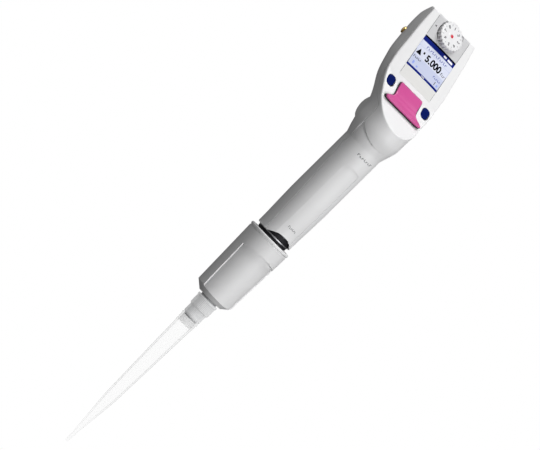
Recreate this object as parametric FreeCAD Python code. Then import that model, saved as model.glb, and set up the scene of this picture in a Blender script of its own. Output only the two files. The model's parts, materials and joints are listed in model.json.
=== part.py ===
import FreeCAD, Part
import math
import os
from FreeCAD import Rotation, Vector

# Hand-held electronic pipette, 5 mL class, in millimetres.
# The origin is the centre of the tip's outlet. +Z runs up the pipette's long axis, the display faces -Y,
# and +X is the user's right.

# ---- driving dimensions -------------------------------------------------------------------------

TIP_LENGTH = 120.6
TIP_WALL = 0.75
OUTLET_RADIUS = 0.55
OUTLET_LENGTH = 3.0

PISTON_RADIUS = 7.9
CYLINDER_BORE = 8.05
CYLINDER_RADIUS = 9.6
CYLINDER_FLOOR_Z = 131.0
CYLINDER_TOP_Z = 176.0
RUNNING_GAP = 0.05

SLEEVE_BOTTOM_Z = 121.8
SLEEVE_TOP_Z = 173.8
SLEEVE_WALL = 1.3

COLLAR_RADIUS = 11.2
COLLAR_BOTTOM_Z = 174.0
COLLAR_TOP_Z = 180.0

HANDLE_BOTTOM_Z = 176.2
HANDLE_RADIUS = 13.75
HANDLE_FOOT_RADIUS = 13.0
HANDLE_BORE = 12.1
HANDLE_TOP_Z = 252.0

HEAD_WALL = 1.6
HEAD_TOP_Z = 342.3
FACE_TILT = 22.0
FACE_CROWN_RADIUS = 134.0
FACE_FOOT = (4.5, 292.6)
LEDGE_EDGE = (-15.0, 273.5)
LEDGE_BACK = (-2.7, 283.2)
SEAM_GAP = 0.1
SEAM_GROOVE = 0.5

BUTTON_LIP_Z = 255.0
BUTTON_SIDE_Y = -7.0
BUTTON_TONGUE_HALF_WIDTH = 13.7

EJECTOR_ROD_RADIUS = 1.15
EJECTOR_ROD_Y = 10.85
YOKE_Z = 266.0

SCREW_RADIUS = 2.0
GUIDE_ROD_RADIUS = 1.2
GUIDE_ROD_X = 7.6
NUT_Z = 187.0
NUT_HEIGHT = 7.0
MOTOR_PLATE_Z = 220.5
MOTOR_BOTTOM_Z = 223.5
MOTOR_TOP_Z = 249.0
MOTOR_RADIUS = 8.8
MOTOR_SCREW_Y = 6.6

PLATE_HALF_WIDTH = 14.4
PLATE_BOTTOM_V = 7.6
PLATE_TOP_V = 53.4
SCREEN_BOTTOM_V = 15.3
SCREEN_TOP_V = 37.8

DIAL_TILT = 40.0
DIAL_RADIUS = 9.4
DIAL_THICKNESS = 3.4
DIAL_CENTRE = (21.0, 337.5)
DIAL_LOBES = 24

ROCKER_TILT = 33.6
ROCKER_LENGTH = 15.6
ROCKER_PIN_W = -1.5
KEY_X = 16.3
KEY_V = 0.2
KEY_HALF_WIDTH = 3.1
KEY_HALF_HEIGHT = 3.5

BOSS_PLACES = [(-16.9, 8.0), (16.9, 8.0), (-16.6, 34.0), (16.6, 34.0)]

SOCKET_TILT = 151.8
SOCKET_X = 11.0
SOCKET_MOUTH = (34.2, 335.4)
SOCKET_BORE = 1.9
SOCKET_DEPTH = 6.0

CONTACT_Z = 319.6
CONTACT_RADIUS = 2.4
CONTACT_PLACE = (21.0, 31.25)
CONTACT_BEARING = 27.0
X_AXIS = Vector(1, 0, 0)
Z_AXIS = Vector(0, 0, 1)


# ---- shape helpers ------------------------------------------------------------------------------

def rod(radius, z0, z1, x=0.0, y=0.0):
    return Part.makeCylinder(radius, z1 - z0, Vector(x, y, z0))


def tube(outer, inner, z0, z1):
    return rod(outer, z0, z1).cut(rod(inner, z0 - 1, z1 + 1))


def box(x0, x1, y0, y1, z0, z1):
    return Part.makeBox(x1 - x0, y1 - y0, z1 - z0, Vector(x0, y0, z0))


def revolved(outline):
    """Solid of revolution about Z from a closed (radius, z) outline."""
    corners = [Vector(r, 0, z) for r, z in outline]
    face = Part.Face(Part.makePolygon(corners + corners[:1]))
    return face.revolve(Vector(0, 0, 0), Z_AXIS, 360)


def prism_x(outline, half_width):
    """Solid between -half_width and +half_width in x from a closed (y, z) outline."""
    corners = [Vector(-half_width, y, z) for y, z in outline]
    face = Part.Face(Part.makePolygon(corners + corners[:1]))
    return face.extrude(Vector(2 * half_width, 0, 0))


def rounded_slab(half_width, half_height, radius, w0, w1, x=0.0, v=0.0):
    """Plate in the x-v plane with round corners, from w0 to w1 along its normal."""
    slab = box(x - half_width, x + half_width, v - half_height, v + half_height, w0, w1)
    corners = [edge for edge in slab.Edges if abs(edge.tangentAt(edge.FirstParameter).z) > 0.99]
    return slab.makeFillet(radius, corners)


def tilted(shape, tilt, origin):
    """Moves a shape from (x, v, w) axes onto a plane leaning back by tilt degrees, w pointing out of it."""
    moved = shape.copy()
    y, z = origin
    moved.Placement = FreeCAD.Placement(Vector(0, y, z), Rotation(X_AXIS, 90 - tilt)) * moved.Placement
    return moved


def on_face(shape):
    return tilted(shape, FACE_TILT, FACE_FOOT)


def compound(solids):
    return Part.makeCompound(solids)


# ---- tip and lower part -------------------------------------------------------------------------

def tip_ribs(radius, z0, z1, count):
    """Fine vertical ribs that stand out of the tip's collar."""
    ribs = []
    for index in range(count):
        rib = box(radius - 0.25, radius + 0.3, -0.28, 0.28, z0, z1)
        rib.rotate(Vector(0, 0, 0), Z_AXIS, index * 360.0 / count)
        ribs.append(rib)
    return ribs


def make_tip():
    outside = [(0.9, 0.0), (1.05, 6.0), (2.24, 18.0), (3.9, 36.0), (4.3, 48.0), (4.7, 60.0), (5.7, 97.0)]
    collar = [(6.1, 100.0), (6.1, 101.1), (6.35, 101.4), (6.35, 105.6), (6.0, 106.0), (6.0, 112.2),
              (7.0, 112.6), (7.0, 119.0), (7.6, 119.7), (7.6, TIP_LENGTH)]
    inside = [(6.25, TIP_LENGTH), (5.35, 112.0), (4.95, 104.0), (4.75, 97.0), (4.7 - TIP_WALL, 60.0),
              (4.3 - TIP_WALL, 48.0), (3.9 - TIP_WALL, 36.0), (2.24 - TIP_WALL, 18.0),
              (OUTLET_RADIUS, OUTLET_LENGTH), (OUTLET_RADIUS, 0.0)]
    body = revolved(outside + collar + inside)
    body = body.multiFuse(tip_ribs(6.0, 106.0, 112.4, 36) + tip_ribs(7.0, 112.4, 119.2, 40))
    return body.removeSplitter()


def make_tip_filter():
    return tube(3.6, 1.0, 108.0, 112.0)


def make_nozzle():
    """Tip cone with its O-ring groove, screwed into the cylinder's floor."""
    body = revolved([(2.0, 104.8), (4.5, 104.8), (4.8, 107.5), (5.1, 111.8), (4.5, 112.0), (4.5, 113.6),
                     (5.2, 113.8), (5.75, 119.5), (6.0, 121.0), (6.0, 126.9), (5.0, 127.0),
                     (5.0, CYLINDER_FLOOR_Z), (2.0, CYLINDER_FLOOR_Z)])
    filter_seat = rod(3.65, 104.0, 112.0)
    return body.cut(filter_seat)


def make_nozzle_o_ring():
    return tube(5.32, 4.5, 112.15, 113.45)


def make_cylinder():
    body = revolved([(5.02, 127.0), (8.2, 127.0), (CYLINDER_RADIUS, 128.4), (CYLINDER_RADIUS, CYLINDER_TOP_Z),
                     (CYLINDER_BORE, CYLINDER_TOP_Z), (CYLINDER_BORE, CYLINDER_FLOOR_Z),
                     (5.02, CYLINDER_FLOOR_Z)])
    return body


def sleeve_panel_form(inset):
    """Flattened front of the sleeve: a cone whose axis lies behind the pipette's axis."""
    axis_y = 2.0
    cone = revolved([(0, 120.0), (13.86 - inset, 120.0), (15.15 - inset, 165.0), (0, 165.0)])
    cone.translate(Vector(0, axis_y, 0))
    return cone


def make_ejector_sleeve():
    rim_radius = 15.3
    taper_top_z = 171.7
    panel_side_y = -5.4
    arch_top_z = 162.3
    arch_radius = 46.0
    outline = [(0, SLEEVE_BOTTOM_Z), (8.8, SLEEVE_BOTTOM_Z), (13.8, 126.0), (15.05, taper_top_z - 0.5),
               (rim_radius - 0.55, taper_top_z - 0.2), (rim_radius - 0.55, taper_top_z + 0.2),
               (rim_radius, taper_top_z + 0.6), (rim_radius, SLEEVE_TOP_Z - 0.5),
               (rim_radius - 0.5, SLEEVE_TOP_Z), (0, SLEEVE_TOP_Z)]
    cavity = revolved([(0, 123.4), (8.4, 123.4), (13.8 - SLEEVE_WALL, 127.2), (13.5, 166.5), (9.8, 167.0),
                       (0, 167.0)])
    front = prism_x([(-30, 110), (-30, 170), (panel_side_y, 170), (panel_side_y, 110)], 30)
    backing = front.copy()
    backing.translate(Vector(0, SLEEVE_WALL, 0))
    cavity = cavity.cut(backing.cut(sleeve_panel_form(SLEEVE_WALL)).common(rod(20, 110, 165)))
    arch = Part.makeCylinder(arch_radius, 60, Vector(0, -30, arch_top_z - arch_radius), Vector(0, 1, 0))
    panel = front.common(arch.fuse(box(-30, 30, -30, 30, 110, 140))).cut(sleeve_panel_form(0.0))
    body = revolved(outline).cut(cavity).cut(panel)
    body = body.cut(rod(6.7, 120, 125)).cut(rod(9.8, 166, 175)).cut(rod(13.6, 170.0, 180))
    for side in (-1, 1):
        notch = Part.makeCylinder(0.9, 3.0, Vector(side * 12.4, 6.3, 161.5), Vector(side * 0.891, 0.454, 0))
        body = body.cut(notch)
    return body


# ---- pump and drive -----------------------------------------------------------------------------

def make_piston():
    body = revolved([(0, 133.5), (PISTON_RADIUS - 0.5, 133.5), (PISTON_RADIUS, 134.0), (PISTON_RADIUS, 136.0),
                     (7.0, 136.0), (7.0, 138.0), (PISTON_RADIUS, 138.0), (PISTON_RADIUS, 143.0), (0, 143.0)])
    return body


def make_piston_seal():
    return tube(CYLINDER_BORE - RUNNING_GAP, 7.0, 136.0, 138.0)


def make_piston_rod():
    solid = rod(4.0, 143.0, NUT_Z)
    return solid.cut(rod(2.4, 155.0, NUT_Z + 1))


def make_drive_nut():
    """Carriage that climbs the lead screw and is kept from turning by the guide rods."""
    arm = rounded_slab(9.6, 3.2, 1.5, NUT_Z, NUT_Z + NUT_HEIGHT)
    body = arm.fuse(rod(5.0, NUT_Z, NUT_Z + NUT_HEIGHT))
    body = body.cut(rod(SCREW_RADIUS + RUNNING_GAP, NUT_Z - 1, NUT_Z + NUT_HEIGHT + 1))
    for side in (-1, 1):
        hole_radius = GUIDE_ROD_RADIUS + RUNNING_GAP
        body = body.cut(rod(hole_radius, NUT_Z - 1, NUT_Z + NUT_HEIGHT + 1, side * GUIDE_ROD_X))
    return body


def make_guide_rods():
    return compound([rod(GUIDE_ROD_RADIUS, 183.0, MOTOR_PLATE_Z, side * GUIDE_ROD_X) for side in (-1, 1)])


def make_lead_screw():
    return rod(SCREW_RADIUS, 183.5, 247.4)


def make_motor_rotor():
    return tube(5.6, SCREW_RADIUS, 228.0, 244.5)


def make_bearing(z0, z1):
    return tube(4.5, SCREW_RADIUS + RUNNING_GAP, z0, z1)


def make_motor_body():
    body = rod(MOTOR_RADIUS, MOTOR_BOTTOM_Z, MOTOR_TOP_Z)
    body = body.cut(rod(5.9, 227.0, 245.0))
    body = body.cut(rod(4.5, MOTOR_BOTTOM_Z - 1, 247.6))
    for side in (-1, 1):
        body = body.cut(rod(0.8, MOTOR_BOTTOM_Z - 1, MOTOR_BOTTOM_Z + 3.0, 0, side * MOTOR_SCREW_Y))
    return body


def make_motor_plate():
    plate = rod(HANDLE_BORE - RUNNING_GAP, MOTOR_PLATE_Z, MOTOR_BOTTOM_Z)
    plate = plate.cut(rod(3.5, MOTOR_PLATE_Z - 1, MOTOR_BOTTOM_Z + 1))
    for side in (-1, 1):
        plate = plate.cut(rod(0.8, MOTOR_PLATE_Z - 1, MOTOR_BOTTOM_Z + 1, 0, side * MOTOR_SCREW_Y))
    return cut_rod_passage(plate, MOTOR_PLATE_Z, MOTOR_BOTTOM_Z)


def make_motor_screws():
    screws = []
    for side in (-1, 1):
        shank = rod(0.75, MOTOR_PLATE_Z, MOTOR_BOTTOM_Z + 2.5, 0, side * MOTOR_SCREW_Y)
        head = rod(1.4, MOTOR_PLATE_Z - 0.9, MOTOR_PLATE_Z, 0, side * MOTOR_SCREW_Y)
        screws.append(shank.fuse(head))
    return compound(screws)


def cut_rod_passage(shape, z0, z1):
    """Open notch at the back that the ejector rod slides through."""
    half_width = EJECTOR_ROD_RADIUS + 0.1
    return shape.cut(box(-half_width, half_width, EJECTOR_ROD_Y - half_width, 20, z0 - 1, z1 + 1))


def make_drive_base():
    plate = rod(HANDLE_BORE - RUNNING_GAP, COLLAR_TOP_Z, 183.0)
    plate = plate.cut(rod(6.0, COLLAR_TOP_Z - 1, 184.0))
    return cut_rod_passage(plate, COLLAR_TOP_Z, 183.0)


def make_rod_bush():
    return tube(6.0, 4.0 + RUNNING_GAP, 178.6, 183.0)


def make_coupling_collar():
    body = revolved([(9.65, COLLAR_BOTTOM_Z), (10.6, COLLAR_BOTTOM_Z), (COLLAR_RADIUS, 174.5),
                     (COLLAR_RADIUS, 175.6), (10.5, 175.7), (10.5, 176.5), (COLLAR_RADIUS, 176.6), (COLLAR_RADIUS, COLLAR_TOP_Z),
                     (9.65, COLLAR_TOP_Z)])
    return cut_rod_passage(body, COLLAR_BOTTOM_Z, COLLAR_TOP_Z)


def make_lock_ring():
    return cut_rod_passage(tube(11.45, 10.5, 175.75, 176.45), 175.75, 176.45)


# ---- handle -------------------------------------------------------------------------------------

def handle_parting():
    """(y, z) line on which the front and rear shells meet, from the handle's foot to the button's corner."""
    return [(-6.7, 170.0), (-6.6, 190.0), (-6.1, 212.0), (-4.4, 230.0), (-2.2, 246.0), (-3.8, 252.0),
            (BUTTON_SIDE_Y, 264.2)]


def handle_seam_groove():
    """Shadow line along the parting line, cut into the outer skin of both shells."""
    core = revolved([(0, 170.0), (12.7, 170.0), (12.8, 184.0), (13.2, 196.0), (13.4, 206.0), (13.4, 253.0),
                     (0, 253.0)])
    return seam_band(handle_parting()[:-1]).common(rod(20.0, 170.0, HANDLE_TOP_Z)).cut(core)


def handle_outside():
    body = revolved([(0, HANDLE_BOTTOM_Z), (HANDLE_FOOT_RADIUS - 0.3, HANDLE_BOTTOM_Z),
                     (HANDLE_FOOT_RADIUS, HANDLE_BOTTOM_Z + 0.4), (13.1, 184.0), (13.5, 196.0),
                     (HANDLE_RADIUS, 206.0), (HANDLE_RADIUS, HANDLE_TOP_Z), (0, HANDLE_TOP_Z)])
    return body


def handle_tube():
    return handle_outside().cut(rod(HANDLE_BORE, HANDLE_BOTTOM_Z - 1, HANDLE_TOP_Z + 1))


def make_handle_front_shell():
    line = handle_parting()
    region = [(y - SEAM_GAP / 2, z) for y, z in line] + [(BUTTON_SIDE_Y - SEAM_GAP / 2, 264.4), (-20, 254.2),
                                                         (-40, 254.2), (-40, 170)]
    space = prism_x(region, 40)
    body = handle_tube().common(space)
    neck = neck_solid(0.0).common(space).cut(rod(11.6, 240.0, 270.0))
    yoke_slot = box(-4.6, 4.6, -40, 0, 256.95, 270.0)
    neck = neck.cut(yoke_slot).cut(box(-40, 40, -40, 40, 240, 250.5))
    body = body.fuse(neck)
    arch = Part.makeCylinder(14.6, 60, Vector(0, -30, 180.4 - 14.6), Vector(0, 1, 0))
    body = body.cut(arch.common(box(-20, 20, -30, -6, 170, 181)))
    flat_top = Part.makeCylinder(14.0, 60, Vector(0, -30, 238.5 - 14.0), Vector(0, 1, 0))
    zone = flat_top.fuse(box(-20, 20, -30, 0, 170, 226.0))
    zone = zone.common(prism_x([(-30, 170), (-9, 170), (-9, 240), (-30, 240)], 6.5))
    plane = revolved([(0, 169.0), (15.4, 169.0), (15.56, 184.0), (15.98, 196.0), (16.25, 206.0),
                      (16.25, 245.0), (0, 245.0)])
    plane.translate(Vector(0, 3.0, 0))
    return body.cut(zone.cut(plane)).cut(handle_seam_groove()).removeSplitter()


# ---- head ---------------------------------------------------------------------------------------

# Level sections of the head: height, half width, front y, widest y, back y, squareness (2 is an ellipse).
HEAD_STATIONS = [
    (252.0, 13.65, -13.65, 0.0, 13.65, 2.0),
    (255.0, 14.65, -14.65, 0.0, 14.65, 2.0),
    (258.5, 15.75, -15.75, 0.0, 15.75, 2.0),
    (262.5, 16.75, -16.75, 0.0, 16.75, 2.0),
    (268.0, 17.15, -17.15, 0.2, 17.20, 2.0),
    (274.0, 17.20, -17.20, 0.8, 18.30, 2.1),
    (279.0, 17.80, -16.50, 2.5, 20.90, 2.3),
    (284.0, 19.00, -14.00, 5.5, 23.00, 2.7),
    (288.5, 20.60, -11.00, 8.5, 24.40, 3.1),
    (294.0, 22.00, -7.00, 11.5, 25.80, 3.5),
    (302.0, 22.80, -1.00, 15.5, 28.60, 3.8),
    (312.0, 22.60, 4.00, 20.0, 33.00, 4.0),
    (322.0, 21.80, 8.00, 24.0, 36.60, 4.0),
    (332.0, 20.90, 12.00, 27.0, 38.60, 4.0),
    (346.0, 19.60, 17.00, 31.0, 39.60, 4.0),
]
SECTION_POINTS = 40


NECK_STATIONS = [
    (249.0, 13.65, -13.65, 0.0, 13.65, 2.0),
    (252.1, 13.65, -13.65, 0.0, 13.65, 2.0),
    (255.0, 14.59, -13.80, 0.0, 14.65, 2.0),
    (258.5, 15.75, -13.85, 0.0, 15.75, 2.0),
    (262.5, 16.85, -13.90, 0.0, 16.75, 2.0),
    (268.0, 17.20, -13.90, 0.0, 17.15, 2.0),
]


def neck_solid(grow):
    """Form of the neck that the button's cuff slides over, level with the rear shell at its sides."""
    stations = [(z, x + grow, front - grow, middle, back, squareness)
                for z, x, front, middle, back, squareness in NECK_STATIONS]
    return Part.makeLoft([head_section(station, 0.0) for station in stations], True, False)


def cuff_space():
    """Room inside the button's cuff for the sloping neck, over the whole travel of the button."""
    top = NECK_STATIONS[-1]
    room = neck_solid(0.12)
    tall = (top[0] + 9.0,) + top[1:]
    shaft = Part.makeLoft([head_section(station, -0.12) for station in (top, tall)], True, True)
    under_ledge = prism_x([(-40, 240.0), (-40, 245.7), (-6.5, 275.4), (40, 275.4), (40, 240.0)], 40)
    return room.fuse(shaft).common(under_ledge)


def head_section(station, inset):
    """Closed wire of one level section, a superellipse with its own depth to the front and to the back."""
    z, half_width, front, middle, back, squareness = station
    power = 2.0 / squareness
    points = []
    for index in range(SECTION_POINTS):
        angle = math.radians(index * 360.0 / SECTION_POINTS)
        across, along = math.cos(angle), math.sin(angle)
        depth = (back - middle) if along > 0 else (middle - front)
        x = (half_width - inset) * math.copysign(abs(across) ** power, across)
        y = middle + (depth - inset) * math.copysign(abs(along) ** power, along)
        points.append(Vector(x, y, z))
    curve = Part.BSplineCurve()
    curve.interpolate(Points=points, PeriodicFlag=True)
    return Part.Wire(curve.toShape())


def face_cutter(depth):
    """Everything in front of the head's face and above its thumb ledge, moved inwards by depth."""
    ledge_y, ledge_z = LEDGE_EDGE
    back_y, back_z = LEDGE_BACK
    foot_y, foot_z = FACE_FOOT
    ledge_slope = (back_z - ledge_z) / (back_y - ledge_y)
    rocker_slope = (foot_z - back_z) / (foot_y - back_y)
    front_y = -40.0
    far_y = 45.0
    region = [(front_y, back_z - ledge_slope * (back_y - front_y)), LEDGE_BACK, FACE_FOOT,
              (far_y, foot_z + rocker_slope * (far_y - foot_y)), (far_y, 380.0), (front_y, 380.0)]
    crown = Part.makeCylinder(FACE_CROWN_RADIUS, 200, Vector(0, 140, -FACE_CROWN_RADIUS), Vector(0, -1, 0))
    crown.rotate(Vector(0, 0, -FACE_CROWN_RADIUS), Vector(0, 1, 0), 180)
    cutter = prism_x(region, 40).cut(on_face(crown))
    inward = Vector(0, 0.794, -0.608)
    cutter.translate(inward * (depth * 1.03))
    return cutter


def crest_cutter(depth):
    """Everything above the flat crest and behind the sloping back of the head's top."""
    region = [(0, HEAD_TOP_Z), (30.5, HEAD_TOP_Z), (37.9, 328.5), (45.3, 314.7), (70, 314.7), (70, 380),
              (0, 380)]
    cutter = prism_x(region, 40)
    cutter.translate(Vector(0, -0.6 * depth, -depth))
    return cutter


def head_solid(inset):
    sections = [head_section(station, inset) for station in HEAD_STATIONS]
    hull = Part.makeLoft(sections, True, False)
    return hull.cut(face_cutter(inset)).cut(crest_cutter(inset))


def head_outside():
    """Closed outer form of the head, with every edge of the face and the crest rounded."""
    body = head_solid(0.0)
    rims = [edge for edge in body.Edges if edge.BoundBox.ZMin > 270]
    return body.makeFillet(1.1, rims)


def face_slab(half_width, v0, v1, w0, w1):
    return on_face(box(-half_width, half_width, v0, v1, w0, w1))


def bezel_region():
    """Space in front of the seam that runs parallel to the face and drops to the cuff's side seam."""
    foot_y, foot_z = FACE_FOOT
    lean = math.tan(math.radians(FACE_TILT))
    line = [(BUTTON_SIDE_Y, 277.0), (5.0, 283.0), (8.2, 292.0), (foot_y + 3.8 + lean * 60, foot_z + 60)]
    return prism_x(line + [(-40, foot_z + 60), (-40, 277.0)], 40)


def seam_band(line):
    """Narrow band of space on both sides of a (y, z) line."""
    half = SEAM_GROOVE / 2
    return prism_x([(y - half, z) for y, z in line] + [(y + half, z) for y, z in reversed(line)], 40)


def head_seam_groove():
    """Shadow lines in the head's outer skin: beside the bezel and up the sides of the button's cuff."""
    foot_y, foot_z = FACE_FOOT
    lean = math.tan(math.radians(FACE_TILT))
    bezel_line = [(BUTTON_SIDE_Y, 277.0), (5.0, 283.0), (8.2, 292.0), (foot_y + 3.8 + lean * 60, foot_z + 60)]
    cuff_line = [(BUTTON_SIDE_Y, 264.2), (BUTTON_SIDE_Y, 277.0)]
    skin = head_solid(-0.5).cut(head_solid(0.35))
    bands = seam_band(bezel_line).multiFuse([seam_band(cuff_line), seam_band(handle_parting()[-2:])])
    return bands.common(skin)


def button_region(gap):
    """Space of the ejector button: the cuff ahead of its side seams and the tongue of the thumb ledge."""
    side_y = BUTTON_SIDE_Y + gap
    width = BUTTON_TONGUE_HALF_WIDTH + gap
    cuff = box(-40, 40, -40, side_y, 240, 300)
    tongue = box(-width, width, side_y - 1, LEDGE_BACK[0] - 0.3 + gap, 277.3 - gap, 300)
    return cuff.fuse(tongue)


def make_ejector_button(shell):
    body = shell.common(button_region(-SEAM_GAP / 2))
    lip_slope = 0.9
    lip_y = -17.2
    below_lip = [(-40, BUTTON_LIP_Z), (lip_y, BUTTON_LIP_Z), (0, BUTTON_LIP_Z - lip_slope * lip_y), (0, 240),
                 (-40, 240)]
    body = body.cut(prism_x(below_lip, 40)).cut(cuff_space()).cut(rod(14.0, 240, 273.2))
    return body.cut(head_seam_groove())


def make_ejector_yoke(inside):
    bar = box(-3.0, 3.0, -17.0, 12.05, YOKE_Z, YOKE_Z + 3.0).common(inside)
    return bar.cut(rod(EJECTOR_ROD_RADIUS, YOKE_Z - 1, YOKE_Z + 4, 0, EJECTOR_ROD_Y))


def make_ejector_rod():
    return rod(EJECTOR_ROD_RADIUS, 170.0, YOKE_Z + 3.0, 0, EJECTOR_ROD_Y)


def make_ejector_spring():
    """Return spring between the motor's top and the yoke."""
    wire_radius = 0.45
    coil_radius = 4.6
    z0 = MOTOR_TOP_Z + wire_radius + 0.05
    height = YOKE_Z - MOTOR_TOP_Z - 2 * wire_radius - 0.1
    coil = Part.makeHelix(height / 5, height, coil_radius)
    section = Part.Wire(Part.makeCircle(wire_radius, Vector(coil_radius, 0, 0), Vector(0, 1, 0)))
    spring = Part.Wire(coil).makePipeShell([section], True, True)
    spring.translate(Vector(0, 0, z0))
    return spring


def dial_space(radius, w0, w1):
    return tilted(Part.makeCylinder(radius, w1 - w0, Vector(0, 0, w0)), DIAL_TILT, DIAL_CENTRE)


def dial_seat():
    return dial_space(DIAL_RADIUS + 1.0, -DIAL_THICKNESS - 1.6, 12.0)


def dial_pocket():
    shaft_hole = dial_space(1.6, -12.0, 0.0)
    return dial_space(DIAL_RADIUS + 0.4, -DIAL_THICKNESS - 0.3, 20.0).fuse(shaft_hole)


def rocker_outline(grow):
    """Closed (x, v) wire of the rocker: straight sides above, wings that sweep out below."""
    half = [(9.0, 8.1), (9.8, 7.7), (10.0, 6.9), (9.9, -0.8), (10.3, -2.2), (11.6, -3.5), (14.4, -5.0),
            (15.9, -6.3), (16.0, -7.3), (15.0, -8.1), (12.0, -8.3)]
    right = [Vector(x, v, 0) for x, v in half]
    left = [Vector(-corner.x, corner.y, 0) for corner in reversed(right)]
    points = right + left
    face = Part.Face(Part.makePolygon(points + points[:1]))
    return face.makeOffset2D(grow) if grow else face


def on_rocker(shape):
    ledge_y, ledge_z = LEDGE_BACK
    lean = math.radians(ROCKER_TILT)
    half = ROCKER_LENGTH / 2
    return tilted(shape, ROCKER_TILT, (ledge_y + half * math.sin(lean), ledge_z + half * math.cos(lean)))


def rocker_opening():
    space = rocker_outline(0.3).extrude(Vector(0, 0, 12))
    space.translate(Vector(0, 0, -4.5))
    return on_rocker(space.common(box(-20, 20, -7.6, 10, -5, 8)))


def rocker_pin_space(radius, half_length):
    return Part.makeCylinder(radius, 2 * half_length, Vector(-half_length, 0, ROCKER_PIN_W), X_AXIS)


def make_rocker():
    body = rocker_outline(0.0).extrude(Vector(0, 0, 8))
    body.translate(Vector(0, 0, -3.0))
    profile = [(8.2, -3.0), (8.2, 1.3), (3.0, 0.7), (-0.8, 0.6), (-5.0, 1.6), (-7.6, 2.9), (-8.4, 2.9),
               (-8.4, 1.3),
               (-7.2, 0.7), (-7.2, -3.0)]
    # prism_x works in (y, z), which are (v, w) here
    body = body.common(prism_x(profile, 20))
    return on_rocker(body.cut(rocker_pin_space(0.85, 30)))


def make_rocker_pin():
    return on_rocker(rocker_pin_space(0.8, 11.8))


def pin_lugs():
    lugs = [box(side * 11.1 - 0.7, side * 11.1 + 0.7, -1.7, 1.7, -3.4, -0.6) for side in (-1, 1)]
    return [on_rocker(lug) for lug in lugs]


def make_rocker_switch():
    plate = box(-4.5, 4.5, -7.0, 7.0, -5.4, -4.4)
    domes = [Part.makeCylinder(1.6, 0.7, Vector(0, side * 4.8, -4.4)) for side in (-1, 1)]
    return on_rocker(plate.multiFuse(domes))


def key_slab(side, grow, w0, w1):
    radius = 2.5 + grow
    half_width, half_height = KEY_HALF_WIDTH + grow, KEY_HALF_HEIGHT + grow
    return on_face(rounded_slab(half_width, half_height, radius, w0, w1, side * KEY_X, KEY_V))


def make_softkey(side):
    stem = on_face(rounded_slab(2.2, 2.6, 1.8, -4.2, -2.6, side * KEY_X, KEY_V))
    return key_slab(side, 0.0, -2.6, -0.3).fuse(stem)


def make_key_switches():
    switches = [on_face(box(side * KEY_X - 2, side * KEY_X + 2, KEY_V - 2, KEY_V + 2, -5.6, -4.9))
                for side in (-1, 1)]
    return compound(switches)


def boss_space(radius, w0, w1):
    return [on_face(Part.makeCylinder(radius, w1 - w0, Vector(x, v, w0))) for x, v in BOSS_PLACES]


def make_front_bezel(shell, inside):
    body = shell.common(bezel_region()).cut(button_region(SEAM_GAP / 2))
    body = body.multiFuse([boss.common(inside) for boss in boss_space(1.7, -5.6, 0.0)])
    body = body.multiFuse([lug.common(inside) for lug in pin_lugs()])
    seat = dial_seat().common(head_outside()).common(dial_space(40, -DIAL_THICKNESS - 1.6, 20.0))
    body = body.fuse(seat)
    body = body.cut(face_slab(PLATE_HALF_WIDTH, PLATE_BOTTOM_V, PLATE_TOP_V + 10, -1.25, 5.0))
    body = body.cut(face_slab(PLATE_HALF_WIDTH - 0.2, SCREEN_BOTTOM_V, SCREEN_TOP_V, -5.0, 0.0))
    body = body.cut(dial_pocket()).cut(rocker_opening())
    for side in (-1, 1):
        body = body.cut(key_slab(side, 0.3, -8.0, 4.0))
    body = body.cut(head_seam_groove())
    body = body.cut(on_rocker(rocker_pin_space(0.8, 11.8)))
    for hole in boss_space(0.8, -6.0, -2.4):
        body = body.cut(hole)
    return body


def make_dial_panel(outside):
    half_width = PLATE_HALF_WIDTH - 0.05
    plate = outside.common(face_slab(half_width, SCREEN_TOP_V + 0.05, PLATE_TOP_V + 10, -1.2, 5.0))
    return plate.cut(dial_pocket())


def make_lower_panel(outside):
    half_width = PLATE_HALF_WIDTH - 0.05
    return outside.common(face_slab(half_width, PLATE_BOTTOM_V + 0.05, SCREEN_BOTTOM_V - 0.05, -1.2, 5.0))


def make_display_window(outside):
    return outside.common(face_slab(PLATE_HALF_WIDTH - 0.05, SCREEN_BOTTOM_V, SCREEN_TOP_V, -1.2, 5.0))


def make_display_module():
    return face_slab(14.0, SCREEN_BOTTOM_V + 0.2, SCREEN_TOP_V - 0.2, -4.2, -1.3)


def make_main_board():
    board = face_slab(18.4, -2.0, 37.0, -6.8, -5.6)
    for hole in boss_space(0.8, -8.0, -5.0):
        board = board.cut(hole)
    return board


def make_board_screws():
    shanks = boss_space(0.75, -6.8, -2.6)
    heads = boss_space(1.4, -7.8, -6.8)
    return compound([shank.fuse(head) for shank, head in zip(shanks, heads)])


def make_selection_dial():
    """Knurled disc on a short shaft."""
    points = []
    samples = DIAL_LOBES * 4
    for index in range(samples):
        angle = 2 * math.pi * index / samples
        radius = DIAL_RADIUS - 0.35 + 0.35 * math.cos(DIAL_LOBES * angle)
        points.append(Vector(radius * math.cos(angle), radius * math.sin(angle), -DIAL_THICKNESS))
    curve = Part.BSplineCurve()
    curve.interpolate(Points=points, PeriodicFlag=True)
    disc = Part.Face(Part.Wire(curve.toShape())).extrude(Vector(0, 0, DIAL_THICKNESS))
    disc = disc.fuse(Part.makeCylinder(1.5, 4.4, Vector(0, 0, -DIAL_THICKNESS - 4.4)))
    disc = disc.cut(Part.makeCylinder(1.2, 2.0, Vector(0, 0, -0.5)))
    return tilted(disc, DIAL_TILT, DIAL_CENTRE)


def make_dial_marker():
    return dial_space(1.15, -0.5, 0.1)


def make_dial_encoder():
    body = box(-4.5, 4.5, -4.5, 4.5, -DIAL_THICKNESS - 5.6, -DIAL_THICKNESS - 1.6)
    body = body.cut(Part.makeCylinder(1.55, 12, Vector(0, 0, -14)))
    return tilted(body, DIAL_TILT, DIAL_CENTRE)


def make_battery():
    cell = rounded_slab(15.0, 15.5, 2.0, -13.2, -8.4, 0.0, 20.5)
    return on_face(cell)


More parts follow.
